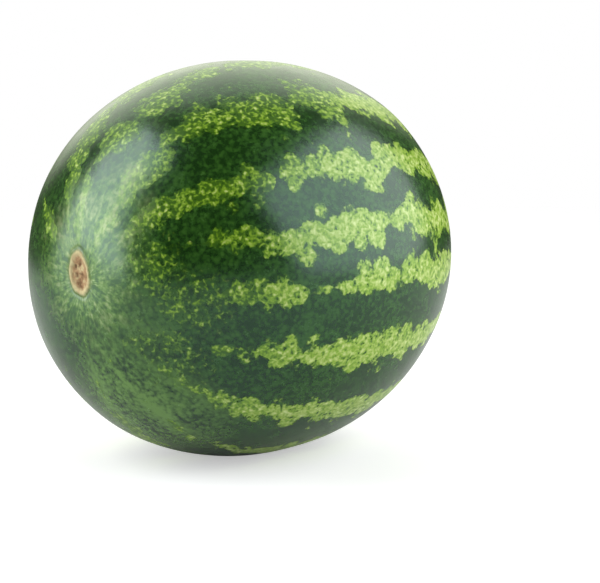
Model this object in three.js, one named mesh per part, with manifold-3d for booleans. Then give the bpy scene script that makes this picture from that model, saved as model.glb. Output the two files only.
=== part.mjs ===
// A whole striped watermelon lying on its side, in millimetres with +Z up.
//
// The fruit grew as one piece, so it is one closed body: the rind, with a shallow basin and
// a corky oval scar at the stem end, a small scar at the blossom end, and a small flat spot
// that it rests on. Its long axis runs along X, with the stem end at -X. The origin is at
// the middle of the underside.

import * as THREE from 'three';
import { mergeVertices } from 'three/addons/utils/BufferGeometryUtils.js';
import Module from 'manifold-3d';

// Overall shape
const HALF_LENGTH = 140;
const MEAN_RADIUS = 130;
const BLUNTNESS = 2.2; // exponent of the long outline: 2 is an ellipse, more is blunter
const OVALNESS = 0.02; // share by which the cross-section's radius swells and shrinks
const OVAL_LEAN = 0.76; // radians from straight up, towards -Y, to the wide way across
const STEM_RISE = 3; // how far the stem end is lifted above the middle line

// Resting spot
const FLAT_DEPTH = 2.5; // thickness of the cap that the flat spot takes off the underside

// The two ends. Each scar is an oval, half as wide and high as these say, and its middle
// lies this far towards +Y and up from the end's centre.
const STEM_END = {
  basinDepth: 3,
  basinRadius: 30,
  scarY: 2.7,
  scarZ: 1.6,
  scarHalfWidth: 9,
  scarHalfHeight: 13.5,
  rimHeight: 1.2,
  rimWidth: 0.3,
  scarDepth: 1.5,
};
const BLOSSOM_END = {
  basinDepth: 1.5,
  basinRadius: 22,
  scarY: 0,
  scarZ: 0,
  scarHalfWidth: 5,
  scarHalfHeight: 5,
  rimHeight: 0.4,
  rimWidth: 0.5,
  scarDepth: 0.6,
};

// Mesh fineness
const RINGS = 40;
const SIDES = 56;
const RING_CROWDING = 0.6; // 0 spaces the rings evenly, towards 1 crowds them at the ends

const RIND = { color: 0x2f5a28, roughness: 0.42, metalness: 0 };

// How deep the surface lies below the smooth end cap, at (y, z) from that end's centre.
function endDepth(end, y, z) {
  const reach = Math.hypot(y, z) / end.basinRadius;
  const basin = end.basinDepth * Math.exp(-(reach ** 2));
  const across = (y - end.scarY) / end.scarHalfWidth;
  const upwards = (z - end.scarZ) / end.scarHalfHeight;
  const oval = Math.hypot(across, upwards);
  const rim = end.rimHeight * Math.exp(-(((oval - 1) / end.rimWidth) ** 2));
  const floor = end.scarDepth * Math.max(0, 1 - oval ** 2);
  return basin - rim + floor;
}

// The point on the rind at an angle along the fruit (0 at the stem end, PI at the blossom
// end) and an angle around it (0 at the top, turning towards -Y).
function rindPoint(along, around) {
  const power = 2 / BLUNTNESS;
  const lengthwise = -Math.sign(Math.cos(along)) * Math.abs(Math.cos(along)) ** power;
  const oval = 1 + OVALNESS * Math.cos(2 * (around - OVAL_LEAN));
  const radius = MEAN_RADIUS * oval * Math.sin(along) ** power;
  const y = -radius * Math.sin(around);
  const z = radius * Math.cos(around);
  const end = lengthwise < 0 ? STEM_END : BLOSSOM_END;
  const x = HALF_LENGTH * lengthwise - Math.sign(lengthwise) * endDepth(end, y, z);
  const lift = STEM_RISE * ((1 - lengthwise) / 2) ** 2;
  return [x, y, z + lift];
}

// Angle along the fruit of ring number i, with the rings crowded towards both ends.
function ringAngle(i) {
  const share = i / RINGS;
  return Math.PI * share - (RING_CROWDING / 2) * Math.sin(2 * Math.PI * share);
}

// The whole rind as a closed mesh: one point at each end, and rings of points between.
function rindGeometry() {
  const positions = [...rindPoint(0, 0)];
  for (let i = 1; i < RINGS; i++) {
    for (let j = 0; j < SIDES; j++) {
      positions.push(...rindPoint(ringAngle(i), (2 * Math.PI * j) / SIDES));
    }
  }
  positions.push(...rindPoint(Math.PI, 0));

  const last = (RINGS - 1) * SIDES + 1;
  const vertex = (ring, side) => 1 + (ring - 1) * SIDES + (side % SIDES);
  const faces = [];
  for (let j = 0; j < SIDES; j++) {
    faces.push(0, vertex(1, j + 1), vertex(1, j));
    for (let i = 1; i < RINGS - 1; i++) {
      faces.push(vertex(i, j), vertex(i + 1, j + 1), vertex(i + 1, j));
      faces.push(vertex(i, j), vertex(i, j + 1), vertex(i + 1, j + 1));
    }
    faces.push(vertex(RINGS - 1, j), vertex(RINGS - 1, j + 1), last);
  }

  const geometry = new THREE.BufferGeometry();
  geometry.setAttribute('position', new THREE.Float32BufferAttribute(positions, 3));
  geometry.setIndex(faces);
  return geometry;
}

function toSolid(wasm, geometry) {
  const bare = geometry.clone();
  bare.deleteAttribute('normal');
  bare.deleteAttribute('uv');
  const merged = mergeVertices(bare);
  const vertProperties = new Float32Array(merged.attributes.position.array);
  const triVerts = new Uint32Array(merged.index.array);
  return new wasm.Manifold(new wasm.Mesh({ numProp: 3, vertProperties, triVerts }));
}

function toGeometry(solid) {
  const { vertProperties, triVerts } = solid.getMesh();
  const geometry = new THREE.BufferGeometry();
  geometry.setAttribute('position', new THREE.BufferAttribute(vertProperties, 3));
  geometry.setIndex(new THREE.BufferAttribute(triVerts, 1));
  return geometry;
}

// Cuts the flat spot, then puts the origin at the middle of the underside.
function restedGeometry(wasm, geometry) {
  geometry.computeBoundingBox();
  const size = 2 * HALF_LENGTH;
  const block = new THREE.BoxGeometry(2 * size, 2 * size, size);
  block.translate(0, 0, geometry.boundingBox.min.z + FLAT_DEPTH - size / 2);
  const rested = toGeometry(toSolid(wasm, geometry).subtract(toSolid(wasm, block)));
  rested.computeBoundingBox();
  const { min, max } = rested.boundingBox;
  rested.translate(-(min.x + max.x) / 2, -(min.y + max.y) / 2, -min.z);
  rested.computeVertexNormals();
  return rested;
}

const wasm = await Module();
wasm.setup();

const watermelon = new THREE.Mesh(
  restedGeometry(wasm, rindGeometry()),
  new THREE.MeshStandardMaterial(RIND),
);
watermelon.name = 'watermelon';

const group = new THREE.Group();
group.add(watermelon);

export default group;
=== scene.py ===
# A whole striped watermelon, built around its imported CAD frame. Units are metres, +Z is up,
# and the fruit's long axis runs along X with the stem end at -X. "along" is the angle down
# the fruit, 0 at the stem end and 180 degrees at the blossom end. "around" is the angle
# round it, 0 on top, turning towards -Y. "right" and "up" are distances from the centre of
# an end, towards -Y and upwards, which is right and up for someone who faces the stem end.

import math
import random

import bpy
import numpy as np
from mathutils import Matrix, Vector, noise


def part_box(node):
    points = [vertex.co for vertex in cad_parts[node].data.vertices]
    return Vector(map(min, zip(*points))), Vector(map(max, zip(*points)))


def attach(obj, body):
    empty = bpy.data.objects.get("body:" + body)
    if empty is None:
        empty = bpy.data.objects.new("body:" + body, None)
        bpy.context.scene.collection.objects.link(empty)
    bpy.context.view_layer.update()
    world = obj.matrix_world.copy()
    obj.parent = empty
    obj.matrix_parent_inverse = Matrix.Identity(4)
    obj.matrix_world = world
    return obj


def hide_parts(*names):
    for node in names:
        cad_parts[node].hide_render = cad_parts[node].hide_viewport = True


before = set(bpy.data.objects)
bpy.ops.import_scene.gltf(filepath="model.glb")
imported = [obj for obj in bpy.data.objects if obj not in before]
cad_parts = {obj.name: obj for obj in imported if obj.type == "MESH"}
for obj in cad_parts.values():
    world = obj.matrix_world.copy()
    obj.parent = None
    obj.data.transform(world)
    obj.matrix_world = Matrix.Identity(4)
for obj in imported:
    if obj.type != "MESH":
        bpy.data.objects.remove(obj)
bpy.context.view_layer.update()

MM = 0.001
WHITE = (1.0, 1.0, 1.0, 1.0)

# ---------------------------------------------------------------- driving dimensions

# The overall shape, as in the CAD
HALF_LENGTH = 140 * MM
MEAN_RADIUS = 130 * MM
BLUNTNESS = 2.2  # exponent of the long outline: 2 is an ellipse, more is blunter
OVALNESS = 0.02  # share by which the cross-section's radius swells and shrinks
OVAL_LEAN = 0.76  # radians from straight up, towards -Y, to the wide way across
STEM_RISE = 3 * MM  # how far the stem end is lifted above the middle line
FLAT_DEPTH = 2.5 * MM  # thickness of the cap that the flat spot takes off the underside
AXIS_HEIGHT = 127 * MM  # of the long axis above the floor

# Growth unevenness of the rind: (size of the swellings, their height)
SWELLINGS = [(70 * MM, 0.7 * MM), (26 * MM, 0.16 * MM)]

# Mesh fineness
RINGS = 250
SIDES = 336
RING_CROWDING = 0.72  # 0 spaces the rings evenly, towards 1 crowds them at the ends

# The bake map, on which the rind lies flat
CAP_RINGS = 47  # rings from each end that it lays out as a disc
MAP_FILL = 0.985  # how much of its side is used
MAP_GAP = 0.004  # between its pieces, as a share of its side

# The stem end, and the oval corky scar on it
STEM_BASIN_DEPTH = 3 * MM
STEM_BASIN_RADIUS = 30 * MM
STEM_SCAR_RIGHT = -2.7 * MM
STEM_SCAR_UP = 1.6 * MM
STEM_SCAR_HALF_WIDTH = 8.8 * MM
STEM_SCAR_HALF_HEIGHT = 13.2 * MM
STEM_SCAR_LEAN = 0.12  # how far the scar's top leans to the left
# Its edge is uneven: (waves round it, share of its size, where they start in radians)
STEM_SCAR_WAVES = [(3, 0.04, 1.0), (7, 0.02, 0.0)]
# The scar's cracks: middle right and up of the scar's, half-width, half-height (all in mm)
# and lean (radians)
SCAR_CRACKS = [
    (-0.2, 5.8, 1.4, 2.8, 0.6),
    (-3.2, -1.6, 1.9, 1.7, 0.3),
    (-0.9, -6.6, 2.3, 3.4, -0.3),
    (-4.2, 3.4, 1.1, 2.0, 0.2),
    (0.6, -0.8, 1.8, 1.0, 0.2),
]
SCAR_CRACK_DEPTH = 0.6 * MM
SCAR_FIELD_LIMIT = 4  # the scar field goes no higher than this

# The relief of both scars. A place or a width is a share of the way from a scar's middle to
# its edge.
RIM_PLACE = 0.9
STEM_RIM_HEIGHT = 0.7 * MM
STEM_RIM_WIDTH = 0.13
STEM_GROOVE_PLACE = 1.14
STEM_GROOVE_DEPTH = 0.2 * MM
STEM_GROOVE_WIDTH = 0.09
STEM_FLOOR_EDGE = 1.1  # square of the place where the floor starts to sink
STEM_FLOOR_DEPTH = 1.1 * MM
BLOSSOM_RIM_HEIGHT = 0.4 * MM
BLOSSOM_RIM_WIDTH = 0.25
BLOSSOM_FLOOR_DEPTH = 0.6 * MM

# The blossom end, with its small round scar in the centre
BLOSSOM_BASIN_DEPTH = 1.5 * MM
BLOSSOM_BASIN_RADIUS = 22 * MM
BLOSSOM_SCAR_RADIUS = 5 * MM

# The light stripes, clockwise as seen facing the stem end. Each is a list of points: (along,
# around, half of the stripe's width, strength), angles in degrees.
SEEN_STRIPES = [
    [(9, -58, 5, 0.2), (15, -52, 6, 0.9), (22, -50, 7, 1), (28, -51, 4, 0.5), (34, -50, 3, 0.2),
     (52, -46, 6, 1), (90, -46, 7, 1), (170, -50, 4, 0.6)],
    [(8, -26, 6, 0.5), (16, -22, 5, 0.7), (25, -20, 6.5, 0.9), (35, -18, 7, 1), (42, -16, 6, 1),
     (50, -13, 5, 1), (70, -12, 7, 1), (170, -16, 4, 0.6)],
    [(6, -8, 8, 0.6), (13, -7, 8, 0.9), (20, -3, 7, 0.8), (28, -4, 4, 0.6), (31, 0, 4, 0.8),
     (35, 3, 8, 1), (40, 4, 9, 1), (43.5, 6, 5, 0.9), (45.5, 7, 2, 0.4), (49, 8, 6, 1),
     (54, 9, 7.5, 1), (59, 9, 5, 0.9), (64, 9, 4, 0.8), (75, 9, 5, 0.9), (100, 12, 6, 1),
     (170, 8, 4, 0.6)],
    [(7, 30, 8, 0.6), (14, 29, 8, 0.9), (25, 30, 8, 0.9), (33, 30, 8, 1), (38, 30, 7.5, 1),
     (43, 27, 4, 0.9), (49, 28, 4.5, 1), (56, 29, 5, 1), (62, 31.5, 6, 1), (68, 34.5, 7, 1),
     (74, 37, 7.5, 1), (77, 37, 5, 0.8), (79, 34, 3, 0.6), (83, 34, 7, 1), (88, 36, 9, 1),
     (91, 37, 6, 0.9), (96, 37, 5.5, 1), (105, 37.5, 6, 1), (140, 36, 7, 1), (170, 34, 4, 0.6)],
    [(11, 52, 4, 0.1), (18, 52, 5, 0.8), (24, 51, 6, 1), (30, 51, 6.5, 1), (35, 53.5, 5, 1),
     (38, 54.5, 3.5, 1), (43, 56, 5, 1), (50, 57, 5, 1), (56, 57, 4.5, 1), (60, 57, 3.5, 0.9),
     (62, 57.5, 1, 0.3), (65, 58, 4, 1), (70, 57.5, 4.5, 1), (78, 57, 4.5, 1), (84, 57.5, 5, 1),
     (89, 60.5, 5, 1), (94, 57.5, 4, 1), (105, 57.5, 5, 1), (140, 58, 6, 1), (170, 56, 3, 0.6)],
    [(14, 70, 5, 0.1), (22, 72, 5, 0.2), (30, 72, 4, 0.3), (36, 73, 3, 0.4), (42, 73, 4, 0.9),
     (50, 73.5, 4, 1), (54, 75, 3.5, 0.9), (60, 78, 4.5, 1), (66, 76.5, 5, 1), (75, 75.5, 4.5, 1),
     (82, 75, 5, 1), (88, 76, 5, 1), (91, 74.5, 3, 0.8), (96, 73, 4, 1), (105, 75, 5, 1),
     (140, 76, 6, 1), (170, 74, 3, 0.6)],
    [(14, 100, 6, 0.1), (22, 98, 5, 0.1), (30, 96, 4, 0.2), (40, 94, 3, 0.5), (50, 92, 4, 1),
     (60, 91.5, 4, 1), (68, 91.5, 3, 0.5), (75, 90.5, 3, 0.5), (83, 89, 4.5, 1), (90, 90, 4, 1),
     (100, 89, 4, 1), (120, 91, 5, 1), (170, 90, 3, 0.6)],
    [(10, 128, 5, 0.1), (20, 122, 5, 0.2), (32, 116, 5, 0.3), (55, 112, 5, 0.8),
     (90, 111, 5, 1), (170, 110, 3, 0.6)],
    [(10, 150, 5, 0.1), (24, 139, 3, 0.1), (34, 136, 3, 0.5), (60, 135, 5, 0.8), (90, 134, 5, 1),
     (170, 136, 3, 0.6)],
    [(10, 176, 5, 0.1), (24, 162, 4, 0.1), (38, 158, 4, 0.25), (59, 160, 4, 0.5), (90, 158, 5, 1),
     (170, 157, 3, 0.6)],
]
WEAKENING = 1.6  # what a stripe of no strength loses from its field
OUTSIDE_STRIPES = -2.0  # the stripe field goes no lower than this

# The stripes of the hidden side, by their middle (around). Angles are in degrees, and a pair
# of values gives the limits of a random draw.
UNSEEN_STRIPES = [184, 209, 234, 259, 287]
UNSEEN_ENDS = (10.0, 172.0)  # along
UNSEEN_STEPS = (7, 13)  # from point to point
UNSEEN_WANDER = (-2.5, 2.5)
UNSEEN_HALF_WIDTH = 5.5
UNSEEN_SWELL = (0.6, 1.3)  # times the half-width
UNSEEN_FULL_FROM = 60  # along, where such a stripe gets its full strength
STRIPE_SEED = 7

# Where the dark bands are flecked like a faint stripe, and where they are an even paler
# green: (along, around, half of the patch's length, half of its width, strength), angles in
# degrees
FLECKED_PATCHES = [
    (22, 80, 14, 34, 1.0),
    (34, 97, 16, 20, 1.0),
    (30, 128, 22, 26, 0.8),
    (156, 30, 16, 60, 0.6),
    (156, 190, 16, 90, 0.6),
]
EVEN_PATCHES = [
    (38, 165, 30, 42, 1.2),
    (20, 130, 16, 40, 0.4),
]
PATCH_SHARPNESS = 1.6

# The stripes get paler along the fruit: the x where that starts, and where they are palest
PALING = (-112 * MM, -60 * MM)
# Painted shade: above this height the paling starts further along, so the top of the fruit stays
# darker
TOP_SHADE_FROM = AXIS_HEIGHT + 50 * MM  # above this height both lie further along
TOP_SHADE_LEAN = 1.5  # how much further, for each metre of height

# The pale zone round each end, partly the fruit's own bloom and partly a painted sheen: it sits a
# little right of and above the middle and reaches furthest upwards, where the left soft box's
# highlight falls. Given are its middle, which way it reaches furthest (around, in degrees), what
# share of the distance that takes off, how narrow that reach is, and the distances within which
# it is full and beyond which there is none
BLOOM_AND_SHEEN_RIGHT = 3 * MM
BLOOM_AND_SHEEN_UP = 4 * MM
BLOOM_AND_SHEEN_HEADING = 18
BLOOM_AND_SHEEN_STRETCH = 0.42
BLOOM_AND_SHEEN_NARROWNESS = 6
BLOOM_AND_SHEEN_FULL = 12 * MM
BLOOM_AND_SHEEN_REACH = 57 * MM
# Its streaks: how much a distance outwards counts in their pattern, and the radius of the
# circle that a turn round the end counts as
STREAK_OUTWARDS = 0.3
STREAK_CIRCLE = 26 * MM

# Floor
FLOOR_RADIUS = 1.7
FLOOR_FADE_FROM = 0.4  # beyond this distance the floor thins out
FLOOR_COLOUR = (0.72, 0.72, 0.75, 1.0)
FLOOR_GLOW = 0.45  # lifts the floor to white as seen, but lights nothing

# The soft boxes: name, turn from the camera to the right and elevation in degrees, distance,
# width and height, and power in watts
SOFT_BOXES = [
    ("right_box", 75, 25, 1.9, (3.1, 2.3), 66),
    ("left_box", -85, 26, 1.9, (1.15, 2.4), 44),
]

# The sky that lights the fruit from above and behind: where its middle is (turn from the
# camera, elevation), the cosines of the angles at its edge and where it is full, how bright
# it is outside it and there, and its colour
SKY_MIDDLE = (-173, 37)
SKY_EDGE = 0.76
SKY_FULL = 0.92
SKY_LEVELS = (0.08, 1.9)
SKY_COLOUR = (0.97, 1.0, 0.82, 1.0)

# Camera
VIEW_AZIMUTH = -45.0
VIEW_ELEVATION = 7.5
VIEW_DISTANCE = 1.2
FOCAL_LENGTH = 3.016  # in picture widths
SENSOR_WIDTH = 36
AIM_RIGHT = 0.0321  # how far right of the fruit's middle it looks, at a distance of 1
AIM_UP = -0.0178
CLIP_START = 0.05
CLIP_END = 60


# ---------------------------------------------------------------- shape

def ring_angles():
    """The angle along the fruit of each ring, crowded towards both ends."""
    share = np.arange(1, RINGS) / RINGS
    return math.pi * share - RING_CROWDING / 2 * np.sin(2 * math.pi * share)


def bell(distance, width):
    return np.exp(-((distance / width) ** 2))


def stem_end_depth(right, up):
    """Depth of the surface under the smooth end cap, at the stem end."""
    basin = STEM_BASIN_DEPTH * bell(np.hypot(right, up), STEM_BASIN_RADIUS)
    place = stem_place(right, up)
    rim = STEM_RIM_HEIGHT * bell(place - RIM_PLACE, STEM_RIM_WIDTH)
    groove = STEM_GROOVE_DEPTH * bell(place - STEM_GROOVE_PLACE, STEM_GROOVE_WIDTH)
    floor = STEM_FLOOR_DEPTH * np.clip(STEM_FLOOR_EDGE - place ** 2, 0, 1)
    cracks = SCAR_CRACK_DEPTH * stem_cracks(right, up)
    return basin - rim + groove + floor + cracks


def stem_place(right, up):
    """0 at the middle of the stem scar and 1 at its uneven edge."""
    across = (right - STEM_SCAR_RIGHT) / STEM_SCAR_HALF_WIDTH
    upwards = (up - STEM_SCAR_UP) / STEM_SCAR_HALF_HEIGHT
    across = across + STEM_SCAR_LEAN * upwards
    angle = np.arctan2(across, upwards)
    size = 1
    for waves, share, start in STEM_SCAR_WAVES:
        size = size + share * np.sin(waves * angle + start)
    return np.hypot(across, upwards) / size


def stem_cracks(right, up):
    """Where the scar's cracks lie, from 0 to 1."""
    total = 0
    for middle_right, middle_up, half_width, half_height, lean in SCAR_CRACKS:
        across = (right - STEM_SCAR_RIGHT) / MM - middle_right
        over = (up - STEM_SCAR_UP) / MM - middle_up
        turned = across * math.cos(lean) - over * math.sin(lean)
        length = across * math.sin(lean) + over * math.cos(lean)
        away = (turned / half_width) ** 2 + (length / half_height) ** 2
        total = np.maximum(total, np.exp(-away))
    return total


def blossom_end_depth(right, up):
    """Depth of the surface under the smooth end cap, at the blossom end."""
    basin = BLOSSOM_BASIN_DEPTH * bell(np.hypot(right, up), BLOSSOM_BASIN_RADIUS)
    place = blossom_place(right, up)
    rim = BLOSSOM_RIM_HEIGHT * bell(place - RIM_PLACE, BLOSSOM_RIM_WIDTH)
    floor = BLOSSOM_FLOOR_DEPTH * np.clip(1 - place ** 2, 0, 1)
    return basin - rim + floor


def blossom_place(right, up):
    """0 at the middle of the blossom scar and 1 at its edge."""
    return np.hypot(right, up) / BLOSSOM_SCAR_RADIUS


def smooth_rind(along, around):
    """Points on the rind before its unevenness, with the long axis at a height of 0."""
    power = 2 / BLUNTNESS
    lengthwise = -np.sign(np.cos(along)) * np.abs(np.cos(along)) ** power
    oval = 1 + OVALNESS * np.cos(2 * (around - OVAL_LEAN))
    radius = MEAN_RADIUS * oval * np.sin(along) ** power
    right = radius * np.sin(around)
    up = radius * np.cos(around)
    depth = np.where(lengthwise < 0, stem_end_depth(right, up), blossom_end_depth(right, up))
    x = HALF_LENGTH * lengthwise - np.sign(lengthwise) * depth
    lift = STEM_RISE * ((1 - lengthwise) / 2) ** 2
    return np.stack([x, -right, up + lift], axis=-1)


def swell(points):
    """Pushes each point in or out a little, as the fruit grew unevenly."""
    out = points / np.linalg.norm(points, axis=-1, keepdims=True)
    push = np.zeros(len(points))
    for size, height in SWELLINGS:
        push += [height * noise.noise(Vector(p) / size) for p in points]
    return points + out * push[:, None]


def rest_on_floor(points):
    """Flattens the underside, puts the fruit where its CAD node is and says by what shift."""
    low, high = points.min(axis=0), points.max(axis=0)
    points[:, 2] = np.maximum(points[:, 2], low[2] + FLAT_DEPTH)
    node_low, node_high = (np.array(corner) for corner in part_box("watermelon"))
    shift = (node_low + node_high - low - high) / 2
    shift[2] = node_low[2] - low[2] - FLAT_DEPTH
    return points + shift, shift


def rind_faces():
    """Each face as its corners' (ring, side). Rings 0 and RINGS are the two end points."""
    faces = []
    for side in range(SIDES):
        faces.append([(0, side), (1, side + 1), (1, side)])
        for ring in range(1, RINGS - 1):
            faces.append([(ring, side), (ring, side + 1), (ring + 1, side + 1), (ring + 1, side)])
        faces.append([(RINGS - 1, side), (RINGS - 1, side + 1), (RINGS, side)])
    return faces


def vertex_number(ring, side):
    """The mesh's vertex at a ring and side. Each end point is a single vertex."""
    last = (RINGS - 1) * SIDES + 1
    return min(max(0, 1 + (ring - 1) * SIDES + side % SIDES), last)


# ---------------------------------------------------------------- stripes, patches and bloom

def eased(at, places, values):
    """Goes from value to value through the places, levelling off at each."""
    i = np.clip(np.searchsorted(places, at) - 1, 0, len(places) - 2)
    share = np.clip((at - places[i]) / (places[i + 1] - places[i]), 0, 1)
    share = share * share * (3 - 2 * share)
    return values[i] * (1 - share) + values[i + 1] * share


def unseen_stripe(middle, draws):
    """A stripe for the hidden side, which wanders and swells like the seen ones."""
    points = []
    along, end = UNSEEN_ENDS
    while along < end:
        centre = middle + draws.uniform(*UNSEEN_WANDER)
        half = UNSEEN_HALF_WIDTH * draws.uniform(*UNSEEN_SWELL)
        points.append((along, centre, half, min(1, (along / UNSEEN_FULL_FROM) ** 2)))
        along += draws.uniform(*UNSEEN_STEPS)
    return points


def degrees_aside(around, middle):
    """How far past the middle an angle lies, from -180 to 180 degrees."""
    return (around - middle + 180) % 360 - 180


def stripe_field(along, around):
    """1 on the middle line of a light stripe, 0 at its edge and negative away from it."""
    draws = random.Random(STRIPE_SEED)
    field = np.full(along.shape, OUTSIDE_STRIPES)
    for points in SEEN_STRIPES + [unseen_stripe(middle, draws) for middle in UNSEEN_STRIPES]:
        places, *facts = (np.array(column, float) for column in zip(*points))
        centre, half, strength = (eased(along, places, values) for values in facts)
        aside = np.abs(degrees_aside(around, centre))
        field = np.maximum(field, 1 - aside / half - WEAKENING * (1 - strength))
    return field


def patch_field(patches, along, around):
    """A patch's strength round its middle, sinking to 0 at its edge and outside them all."""
    field = np.zeros(along.shape)
    for middle_along, middle_around, half_length, half_width, strength in patches:
        aside = degrees_aside(around, middle_around) / half_width
        away = np.hypot((along - middle_along) / half_length, aside)
        field = np.maximum(field, strength * np.clip(PATCH_SHARPNESS * (1 - away), 0, 1))
    return field


def bloom_and_sheen_distance(right, up, around):
    """Distance from the middle of the pale bloom and its painted sheen, less where it reaches
    further.
    """
    towards = np.clip(np.cos(around - math.radians(BLOOM_AND_SHEEN_HEADING)), 0, 1)
    shorter = 1 - BLOOM_AND_SHEEN_STRETCH * towards ** BLOOM_AND_SHEEN_NARROWNESS
    return np.hypot(right - BLOOM_AND_SHEEN_RIGHT, up - BLOOM_AND_SHEEN_UP) * shorter


# ---------------------------------------------------------------- bake map

class FlatMap:
    """The rind laid out flat: its middle as two strips, and its ends as two discs."""

    def __init__(self, points):
        grid = points[1:-1].reshape(RINGS - 1, SIDES, 3)
        middles = grid.mean(axis=1)
        radii = np.linalg.norm(grid - middles[:, None], axis=2).mean(axis=1)
        steps = np.hypot(np.linalg.norm(np.diff(middles, axis=0), axis=1), np.diff(radii))
        self.reach = np.cumsum([0, radii[0], *steps, radii[-1]])  # from end to end, by ring
        self.cap = self.reach[CAP_RINGS]
        self.width = math.pi * radii.max()
        height = self.reach[-1] - 2 * self.cap
        self.scale = MAP_FILL / max(self.width + 2 * self.cap, 2 * height)

        second_strip = 2 * MAP_GAP + height * self.scale
        self.strips = [(MAP_GAP, MAP_GAP), (MAP_GAP, second_strip)]
        disc_x = 3 * MAP_GAP + (self.width + self.cap) * self.scale
        first_disc = 2 * MAP_GAP + self.cap * self.scale
        second_disc = 5 * MAP_GAP + 3 * self.cap * self.scale
        self.discs = [(disc_x, first_disc), (disc_x, second_disc)]

    def on_strip(self, ring, side, strip):
        left, bottom = self.strips[strip]
        share = (side - strip * SIDES / 2) / (SIDES / 2)
        across = share * self.width
        return left + across * self.scale, bottom + (self.reach[ring] - self.cap) * self.scale

    def on_disc(self, ring, side, end):
        centre_x, centre_y = self.discs[end]
        from_end = self.reach[-1] - self.reach[ring] if end else self.reach[ring]
        angle = 2 * math.pi * side / SIDES * (-1 if end else 1)
        across, up = from_end * math.sin(angle), from_end * math.cos(angle)
        return centre_x + across * self.scale, centre_y + up * self.scale

    def face(self, corners):
        """The places of a face's corners."""
        first_ring, first_side = corners[0]
        if CAP_RINGS <= first_ring < RINGS - CAP_RINGS:
            strip = int(first_side >= SIDES // 2)
            return [self.on_strip(ring, side, strip) for ring, side in corners]
        end = int(first_ring > RINGS // 2)
        return [self.on_disc(ring, side, end) for ring, side in corners]


# ---------------------------------------------------------------- the rind's mesh

def add_field(mesh, name, values):
    field = mesh.attributes.new(name, "FLOAT", "POINT")
    field.data.foreach_set("value", np.asarray(values, np.float32))


def add_fields(mesh, along, around, smooth):
    """Stores what the rind's material needs to know at each point."""
    stem_side = along < math.pi / 2
    right = -smooth[:, 1]
    up = smooth[:, 2] - np.where(stem_side, STEM_RISE, 0)
    angles = np.degrees(along), np.degrees(around)
    scar = np.where(stem_side, stem_place(right, up), blossom_place(right, up))
    add_field(mesh, "stripe", stripe_field(*angles))
    add_field(mesh, "fleck", patch_field(FLECKED_PATCHES, *angles))
    add_field(mesh, "even", patch_field(EVEN_PATCHES, *angles))
    add_field(mesh, "end", np.hypot(right, up))
    # The pale zone round each end: the fruit's bloom, set off the middle as a painted sheen
    add_field(mesh, "bloom", bloom_and_sheen_distance(right, up, around))
    add_field(mesh, "scar", np.minimum(scar, SCAR_FIELD_LIMIT))
    add_field(mesh, "crack", np.where(stem_side, stem_cracks(right, up), 0))


def make_rind():
    """The whole fruit, as one closed mesh."""
    ring_along, side_around = np.meshgrid(
        ring_angles(), 2 * math.pi * np.arange(SIDES) / SIDES, indexing="ij"
    )
    along = np.concatenate([[0.0], ring_along.ravel(), [math.pi]])
    around = np.concatenate([[0.0], side_around.ravel(), [0.0]])
    smooth = smooth_rind(along, around)
    points, shift = rest_on_floor(swell(smooth))

    faces = rind_faces()
    mesh = bpy.data.meshes.new("watermelon_rind")
    mesh.from_pydata(points.tolist(), [], [[vertex_number(*at) for at in face] for face in faces])
    mesh.polygons.foreach_set("use_smooth", [True] * len(mesh.polygons))
    flat_map = FlatMap(points)
    layer = mesh.uv_layers.new(name="OFBake")
    layer.data.foreach_set("uv", np.concatenate([flat_map.face(face) for face in faces]).ravel())
    add_fields(mesh, along, around, smooth)
    mesh.update()

    rind = bpy.data.objects.new("watermelon_rind", mesh)
    bpy.context.scene.collection.objects.link(rind)
    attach(rind, "root")
    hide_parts("watermelon")
    return rind, Vector(shift)


# ---------------------------------------------------------------- node helpers

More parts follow.
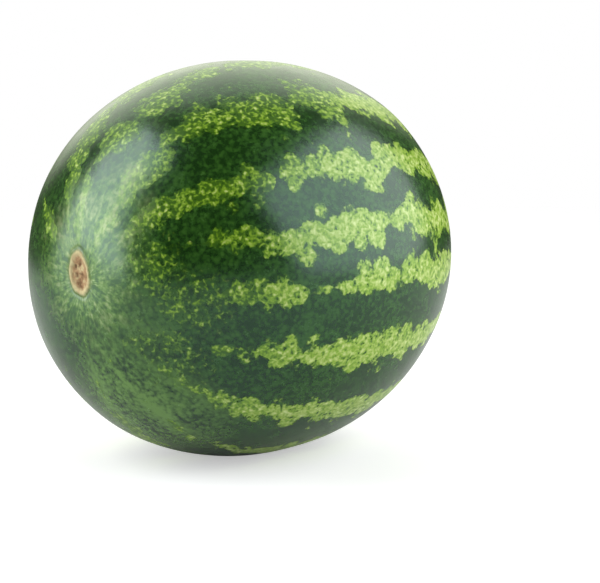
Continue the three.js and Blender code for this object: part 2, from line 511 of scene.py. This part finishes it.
class Nodes:
    """Fills a node tree by short calls. A value is a constant or a node's output."""

    def __init__(self, tree, coordinates):
        self.tree = tree
        self.position = self.make("TexCoord").outputs[coordinates]

    def put(self, socket, value):
        if isinstance(value, bpy.types.NodeSocket):
            self.tree.links.new(value, socket)
        else:
            socket.default_value = value

    def make(self, kind, values=None, **settings):
        """A new node, with its settings and the values of its inputs, by name or number."""
        node = self.tree.nodes.new("ShaderNode" + kind)
        for name, setting in settings.items():
            setattr(node, name, setting)
        for name, value in (values or {}).items():
            self.put(node.inputs[name], value)
        return node

    def field(self, name):
        return self.make("Attribute", attribute_name=name).outputs["Fac"]

    def is_camera_ray(self):
        return self.make("LightPath").outputs["Is Camera Ray"]

    def math(self, operation, first, second=0.0, third=0.0):
        values = {0: first, 1: second, 2: third}
        return self.make("Math", values, operation=operation).outputs[0]

    def add(self, *values):
        total = values[0]
        for value in values[1:]:
            total = self.math("ADD", total, value)
        return total

    def times(self, first, second):
        return self.math("MULTIPLY", first, second)

    def weighted(self, *terms):
        """The sum of values, each given after its weight."""
        return self.add(*[self.times(value, weight) for weight, value in terms])

    def ease(self, value, low, high):
        """0 below low, 1 above high, and a smooth step between. Backwards if low > high."""
        start, end = sorted((low, high))
        at_start, at_end = (0.0, 1.0) if low < high else (1.0, 0.0)
        values = {
            "Value": value,
            "From Min": start,
            "From Max": end,
            "To Min": at_start,
            "To Max": at_end,
        }
        node = self.make("MapRange", values, interpolation_type="SMOOTHSTEP")
        return node.outputs["Result"]

    def noise(self, size, detail=2.0, rough=0.5, at=None, bend=0.0):
        """Smooth noise from about -1 to 1, with features of about the given size."""
        values = {
            "Vector": at or self.position,
            "Scale": 1 / size,
            "Detail": detail,
            "Roughness": rough,
            "Distortion": bend,
        }
        return self.math("MULTIPLY_ADD", self.make("TexNoise", values).outputs["Fac"], 2.0, -1.0)

    def cells(self, size, at):
        """Distance from the nearest cell's middle, in cell sizes."""
        return self.make("TexVoronoi", {"Vector": at, "Scale": 1 / size}).outputs["Distance"]

    def bent_position(self, size, reach, detail=2.0):
        """The position, pushed about by noise, for patterns that mustn't look regular."""
        values = {"Vector": self.position, "Scale": 1 / size, "Detail": detail}
        push = self.make("TexNoise", values).outputs["Color"]
        push = self.vector("SUBTRACT", push, (0.5, 0.5, 0.5))
        push = self.vector("MULTIPLY", push, (2 * reach,) * 3)
        return self.vector("ADD", self.position, push)

    def vector(self, operation, first, second=(0.0, 0.0, 0.0), output="Vector"):
        node = self.make("VectorMath", {0: first, 1: second}, operation=operation)
        return node.outputs[output]

    def parts(self, vector):
        """A vector's x, y and z."""
        return tuple(self.make("SeparateXYZ", {0: vector}).outputs)

    def joined(self, x, y, z):
        return self.make("CombineXYZ", {0: x, 1: y, 2: z}).outputs["Vector"]

    def mix(self, share, first, second):
        """The first colour where the share is 0, the second where it is 1."""
        values = {"Factor": share, "A": first, "B": second}
        return self.make("Mix", values, data_type="RGBA").outputs["Result"]

    def blend(self, share, first, second):
        """As mix, for numbers."""
        values = {"Factor": share, "A": first, "B": second}
        return self.make("Mix", values).outputs["Result"]

    def ramp(self, value, stops):
        """A colour by value, through stops of (value, colour)."""
        node = self.make("ValToRGB", {"Fac": value})
        elements = node.color_ramp.elements
        while len(elements) < len(stops):
            elements.new(0.5)
        for element, (place, colour) in zip(elements, stops):
            element.position = place
            element.color = colour
        return node.outputs["Color"]

    def bump(self, height, distance, strength=1.0, under=None):
        """The surface's direction, tilted by a height, on top of another such direction."""
        values = {"Distance": distance, "Strength": strength, "Height": height}
        if under is not None:
            values["Normal"] = under
        return self.make("Bump", values).outputs["Normal"]


class Shader(Nodes):
    """A new material's nodes, round one surface."""

    def __init__(self, name):
        self.material = bpy.data.materials.new(name)
        self.material.use_nodes = True
        self.material.node_tree.nodes.clear()
        super().__init__(self.material.node_tree, "Object")
        self.surface = self.make("BsdfPrincipled")
        self.make("OutputMaterial", {"Surface": self.surface.outputs["BSDF"]})

    def finish(self, values):
        """Sets the surface's inputs and gives the material."""
        for name, value in values.items():
            self.put(self.surface.inputs[name], value)
        return self.material


def srgb(red, green, blue):
    """A colour given from 0 to 255 as a screen shows it."""
    def linear(value):
        value /= 255
        return value / 12.92 if value <= 0.04045 else ((value + 0.055) / 1.055) ** 2.4
    return (linear(red), linear(green), linear(blue), 1.0)


# ---------------------------------------------------------------- the rind's material

# The dark bands, from their deepest grains to their lightest
DEEP_GREEN = srgb(16, 48, 2)
DARK_GREEN = srgb(38, 76, 18)
MID_GREEN = srgb(58, 98, 32)
EVEN_GREEN = srgb(102, 140, 62)

# The light stripes, from the net in them to their palest grains
STRIPE_TONES = [
    (0.0, srgb(56, 92, 6)),
    (0.25, srgb(94, 132, 22)),
    (0.5, srgb(130, 164, 44)),
    (0.72, srgb(164, 186, 96)),
    (0.96, srgb(192, 208, 136)),
]

# The pale zone round the ends, the fruit's bloom and partly a painted sheen, from its dark
# streaks to its pale ones
BLOOM_AND_SHEEN_TONES = [
    (0.0, srgb(66, 108, 40)),
    (0.45, srgb(122, 162, 66)),
    (1.0, srgb(196, 212, 142)),
]

CORK_TAN = srgb(206, 184, 138)
CORK_RIM = srgb(222, 210, 160)
CORK_TONES = [
    (0.1, srgb(142, 108, 72)),
    (0.45, srgb(186, 146, 106)),
    (0.75, CORK_TAN),
    (1.0, CORK_RIM),
]
CRACK_BROWN = srgb(106, 68, 34)
CORK_EDGE = srgb(92, 98, 34)

RIND_ROUGHNESS = 0.25
CORK_ROUGHNESS = 0.85
RIND_RELIEF = 0.05 * MM
CORK_RELIEF = 0.5 * MM
SPECULAR_TINT = (0.72, 1.0, 0.97, 1.0)


def paleness(shader):
    """1 where the stripes are pale and 0 where they are dark: near the stem, and on top, where
    the darkness is painted shade.
    """
    x, _, z = shader.parts(shader.position)
    # Painted shade: the height above the top level keeps the top darker
    above = shader.math("MAXIMUM", shader.math("SUBTRACT", z, TOP_SHADE_FROM), 0.0)
    return shader.ease(shader.add(x, shader.times(above, -TOP_SHADE_LEAN)), *PALING)


def stripe_body(shader):
    """1 inside the light stripes, 0 in the dark bands: lobed, with a soft edge."""
    bent = shader.bent_position(8 * MM, 2.5 * MM)
    edge = shader.weighted(
        (0.85, shader.field("stripe")),
        (1.4, shader.math("SUBTRACT", 0.5, shader.cells(12 * MM, bent))),
        (0.3, shader.noise(14 * MM)),
        (0.25, shader.noise(3.4 * MM)),
    )
    patchy = shader.add(0.43, shader.times(shader.noise(9 * MM, detail=3.0), 0.7))
    flecks = shader.times(shader.field("fleck"), patchy)
    return shader.math("MAXIMUM", shader.ease(edge, -0.4, 0.45), flecks)


def stripe_net(shader):
    """The lace inside the stripes, from about -1 in its dark holes to 1 on a pale grain."""
    twisted = shader.bent_position(3 * MM, 1.3 * MM, detail=1.0)
    winding = shader.math("ABSOLUTE", shader.noise(4.4 * MM, detail=1.0, at=twisted))
    lace = shader.weighted(
        (0.55, shader.ease(winding, 0.34, 0.0)),
        (1.05, shader.noise(2.7 * MM, rough=0.6)),
        (0.9, shader.math("SUBTRACT", 0.42, shader.cells(3.2 * MM, twisted))),
        (0.25, shader.noise(7 * MM, detail=1.0)),
    )
    return shader.add(lace, -0.41)


def light_share(shader, body, net):
    """How far the rind is a light stripe rather than a dark band, from 0 to 1."""
    netted = shader.times(body, shader.add(1.0, shader.times(net, 0.7)))
    return shader.ease(netted, 0.12, 0.6)


def stripe_colour(shader, body, net, pale):
    """Light stripes with darker nets in them."""
    tone = shader.add(
        shader.times(body, 0.31),
        shader.times(pale, 0.36),
        shader.times(net, shader.blend(pale, 0.92, 0.52)),
    )
    return shader.ramp(tone, STRIPE_TONES)


def band_colour(shader, pale):
    """Mottled dark bands, with more light specks near a stripe."""
    near = shader.ease(shader.field("stripe"), -1.8, 0.2)
    bent = shader.bent_position(6 * MM, 1.5 * MM)
    shade = shader.weighted(
        (0.8, shader.math("SUBTRACT", 0.5, shader.cells(3.4 * MM, bent))),
        (0.9, shader.noise(3.0 * MM, rough=0.6)),
        (0.5, shader.noise(24 * MM)),
    )
    band = shader.mix(shader.ease(shade, -0.35, 0.3), DEEP_GREEN, DARK_GREEN)
    specks = shader.times(shader.ease(shade, 0.05, 0.6), shader.blend(near, 0.35, 0.9))
    specks = shader.times(specks, shader.blend(pale, 1.0, 0.5))
    band = shader.mix(specks, band, MID_GREEN)
    even = shader.ease(shader.add(shade, shader.times(near, 0.6)), -0.7, 0.9)
    return shader.mix(shader.times(shader.field("even"), even), band, EVEN_GREEN)


def streak_place(shader):
    """A place to read noise at, so that it makes fine streaks that run out of the ends."""
    _, y, z = shader.parts(shader.position)
    height = shader.math("SUBTRACT", z, AXIS_HEIGHT)
    _, turn_y, turn_z = shader.parts(shader.vector("NORMALIZE", shader.joined(0.0, y, height)))
    return shader.joined(
        shader.times(shader.field("end"), STREAK_OUTWARDS),
        shader.times(turn_y, STREAK_CIRCLE),
        shader.times(turn_z, STREAK_CIRCLE),
    )


def with_bloom_and_sheen(shader, colour):
    """Pales the rind round the two ends, in fine streaks that run outwards: the fruit's bloom,
    with a painted sheen where it is set off the middle.
    """
    place = streak_place(shader)
    stripe = shader.ease(shader.field("stripe"), -1.0, 0.5)
    stripe = shader.times(stripe, shader.ease(shader.field("end"), 14 * MM, 40 * MM))
    streaks = shader.weighted(
        (0.9, shader.noise(1.8 * MM, at=place, bend=0.6)),
        (0.7, shader.noise(6 * MM, detail=1.0, at=place)),
        (0.8, shader.noise(3 * MM)),
    )
    streaks = shader.add(streaks, shader.blend(stripe, 0.34, 0.64))
    # The zone's reach: its off-centre part is a painted sheen
    reach = shader.add(shader.field("bloom"), shader.times(shader.noise(20 * MM), 14 * MM))
    share = shader.ease(reach, BLOOM_AND_SHEEN_REACH, BLOOM_AND_SHEEN_FULL)
    share = shader.times(share, shader.blend(stripe, 0.65, 0.85))
    return shader.mix(share, colour, shader.ramp(streaks, BLOOM_AND_SHEEN_TONES))


def corked(shader, colour):
    """Colours the two scars: a pale corky rim round a tan floor with brown cracks."""
    scar = shader.add(shader.field("scar"), shader.times(shader.noise(2.2 * MM), 0.07))
    grain = shader.noise(1.1 * MM, detail=3.0, rough=0.65)
    patch = shader.noise(4 * MM)
    tone = shader.add(shader.weighted((0.5, grain), (1.0, patch)), 0.5)
    rim = shader.mix(shader.ease(patch, -0.4, 0.4), CORK_TAN, CORK_RIM)
    cork = shader.mix(shader.ease(scar, 0.66, 0.86), shader.ramp(tone, CORK_TONES), rim)
    ragged = shader.times(shader.noise(1.7 * MM, detail=3.0, rough=0.65), 0.9)
    crack = shader.ease(shader.add(shader.field("crack"), ragged), 0.0, 1.0)
    cork = shader.mix(shader.times(crack, 0.85), cork, CRACK_BROWN)
    edge = shader.times(shader.ease(scar, 1.5, 1.0), 0.5)
    colour = shader.mix(edge, colour, CORK_EDGE)
    return shader.mix(shader.ease(scar, 1.12, 0.92), colour, cork)


def rind_roughness(shader, is_light, is_cork):
    """Waxy and uneven, a little duller on the light stripes and dull on the cork."""
    wax = shader.noise(12 * MM, detail=4.0, rough=0.65)
    uneven = shader.times(is_light, 0.06), shader.times(wax, 0.1)
    return shader.blend(is_cork, shader.add(RIND_ROUGHNESS, *uneven), CORK_ROUGHNESS)


def rind_relief(shader, is_light, is_cork):
    """Faint waves, then pores with the light stripes a touch prouder, then cork grain."""
    normal = shader.bump(shader.noise(6 * MM), RIND_RELIEF)
    pores = shader.weighted((0.25, shader.noise(1.1 * MM)), (0.5, is_light))
    normal = shader.bump(pores, RIND_RELIEF, 0.6, under=normal)
    grain = shader.times(shader.noise(0.9 * MM, detail=3.0, rough=0.7), is_cork)
    return shader.bump(grain, CORK_RELIEF, 0.8, under=normal)


def rind_material():
    """The waxy striped rind and its two corky scars."""
    shader = Shader("watermelon_rind")
    pale = paleness(shader)
    body, net = stripe_body(shader), stripe_net(shader)
    is_light = light_share(shader, body, net)
    is_cork = shader.ease(shader.field("scar"), 1.1, 0.95)
    stripes = stripe_colour(shader, body, net, pale)
    colour = shader.mix(is_light, band_colour(shader, pale), stripes)
    return shader.finish({
        "Base Color": corked(shader, with_bloom_and_sheen(shader, colour)),
        "Roughness": rind_roughness(shader, is_light, is_cork),
        "Normal": rind_relief(shader, is_light, is_cork),
        "IOR": 1.45,
        "Specular IOR Level": 0.7,
        "Specular Tint": SPECULAR_TINT,
    })


# ---------------------------------------------------------------- floor, lights, camera

def heading(from_camera, elevation):
    """The direction of a place from the fruit, by its turn to the right of the camera."""
    turn, rise = math.radians(VIEW_AZIMUTH + from_camera), math.radians(elevation)
    level = math.cos(rise)
    return Vector((math.sin(turn) * level, -math.cos(turn) * level, math.sin(rise)))


def make_floor():
    """A pale table, which thins out far from the fruit so that it has no edge."""
    bpy.ops.mesh.primitive_circle_add(vertices=96, radius=FLOOR_RADIUS, fill_type="NGON")
    floor = bpy.context.object
    floor.name = "floor"
    shader = Shader("floor")
    away = shader.vector("LENGTH", shader.position, output="Value")
    floor.data.materials.append(shader.finish({
        "Base Color": FLOOR_COLOUR,
        "Roughness": 0.8,
        "Specular IOR Level": 0.1,
        "Emission Color": WHITE,
        "Emission Strength": shader.times(shader.is_camera_ray(), FLOOR_GLOW),
        "Alpha": shader.ease(away, FLOOR_RADIUS, FLOOR_FADE_FROM),
    }))


def make_light(centre, name, from_camera, elevation, distance, size, power):
    """A soft box that faces the fruit and that the camera doesn't see."""
    light = bpy.data.lights.new(name, "AREA")
    light.shape = "RECTANGLE"
    light.size, light.size_y = size
    light.energy = power
    lamp = bpy.data.objects.new(name, light)
    direction = heading(from_camera, elevation)
    lamp.location = centre + direction * distance
    lamp.rotation_euler = direction.to_track_quat("Z", "Y").to_euler()
    lamp.visible_camera = False
    bpy.context.scene.collection.objects.link(lamp)


def make_world():
    """White to look at. As a light it is a slightly yellow sky, brightest behind the fruit."""
    world = bpy.data.worlds.new("studio")
    world.use_nodes = True
    nodes = Nodes(world.node_tree, "Generated")
    middle = heading(*SKY_MIDDLE)
    nearness = nodes.vector("DOT_PRODUCT", nodes.position, middle, output="Value")
    sky = nodes.blend(nodes.ease(nearness, SKY_EDGE, SKY_FULL), *SKY_LEVELS)
    seen = nodes.is_camera_ray()
    background = world.node_tree.nodes["Background"]
    nodes.put(background.inputs["Strength"], nodes.blend(seen, sky, 1.0))
    nodes.put(background.inputs["Color"], nodes.mix(seen, SKY_COLOUR, WHITE))
    bpy.context.scene.world = world


def make_camera(centre):
    back = heading(0, VIEW_ELEVATION)
    right = Vector((0, 0, 1)).cross(back).normalized()
    up = back.cross(right)
    aim = -back + right * AIM_RIGHT + up * AIM_UP
    data = bpy.data.cameras.new("camera")
    data.sensor_width = SENSOR_WIDTH
    data.lens = FOCAL_LENGTH * SENSOR_WIDTH
    data.clip_start, data.clip_end = CLIP_START, CLIP_END
    camera = bpy.data.objects.new("camera", data)
    camera.location = centre + back * VIEW_DISTANCE
    camera.rotation_euler = aim.to_track_quat("-Z", "Y").to_euler()
    bpy.context.scene.collection.objects.link(camera)
    bpy.context.scene.camera = camera


# ---------------------------------------------------------------- the scene

rind, centre = make_rind()
rind.data.materials.append(rind_material())
make_floor()
for soft_box in SOFT_BOXES:
    make_light(centre, *soft_box)
make_world()
make_camera(centre)
bpy.context.scene.view_settings.view_transform = "Standard"
